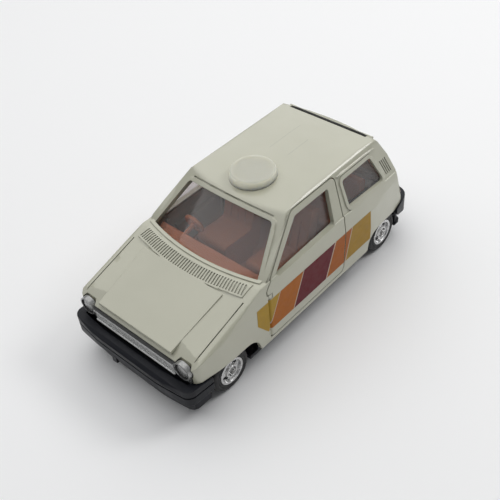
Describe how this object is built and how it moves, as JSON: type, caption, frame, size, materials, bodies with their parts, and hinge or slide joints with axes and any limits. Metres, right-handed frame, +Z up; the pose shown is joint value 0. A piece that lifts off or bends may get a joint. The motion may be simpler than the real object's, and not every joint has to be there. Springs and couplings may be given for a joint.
{
  "type": "toy taxi car",
  "caption": "Die-cast toy taxi: a small hatchback with opening doors and tailgate, clear windows, seats inside, a round roof lamp and wheels that roll on steel axles.",
  "frame": {"origin": "middle of the car's bounding box on the floor that the tyres stand on", "axes": "front faces -Y, the car's left side is +X, +Z up"},
  "size_m": [0.0432, 0.0946, 0.0391],
  "materials": {
    "ivory_paint": "gloss",
    "black_plastic": "satin",
    "plated_trim": "polished",
    "clear_plastic": "polished",
    "orange_plastic": "satin",
    "milky_plastic": "satin",
    "bright_steel": "polished",
    "plated_wheel": "satin",
    "tyre_black": "matte"
  },
  "bodies": {
    "car": {"body_shell": "ivory_paint", "base_plate": "black_plastic", "grille_insert": "plated_trim", "glazing": "clear_plastic", "interior": "orange_plastic", "roof_lamp": "milky_plastic", "rivets": "bright_steel"},
    "left_door_panel": {"left_door": "ivory_paint", "left_door_glass": "clear_plastic"},
    "right_door_panel": {"right_door": "ivory_paint", "right_door_glass": "clear_plastic"},
    "tailgate_panel": {"tailgate": "ivory_paint", "tailgate_glass": "clear_plastic"},
    "front_wheels": {"front_axle": "bright_steel", "front_left_hub": "plated_wheel", "front_right_hub": "plated_wheel", "front_left_tyre": "tyre_black", "front_right_tyre": "tyre_black"},
    "rear_wheels": {"rear_axle": "bright_steel", "rear_left_hub": "plated_wheel", "rear_right_hub": "plated_wheel", "rear_left_tyre": "tyre_black", "rear_right_tyre": "tyre_black"}
  },
  "joints": [
    {"name": "left_door_hinge", "type": "hinge", "parent": "car", "child": "left_door_panel", "pos_m": [0.0206, -0.0164, 0.014], "axis": [0, 0, -1], "range_deg": [0, 65]},
    {"name": "right_door_hinge", "type": "hinge", "parent": "car", "child": "right_door_panel", "pos_m": [-0.0206, -0.0164, 0.014], "axis": [0, 0, 1], "range_deg": [0, 65]},
    {"name": "tailgate_hinge", "type": "hinge", "parent": "car", "child": "tailgate_panel", "pos_m": [0, 0.0355, 0.03575], "axis": [1, 0, 0], "range_deg": [0, 60]},
    {"name": "front_axle_spin", "type": "hinge", "parent": "car", "child": "front_wheels", "pos_m": [0, -0.031, 0.0063], "axis": [1, 0, 0], "continuous": true},
    {"name": "rear_axle_spin", "type": "hinge", "parent": "car", "child": "rear_wheels", "pos_m": [0, 0.0336, 0.0063], "axis": [1, 0, 0], "continuous": true}
  ]
}
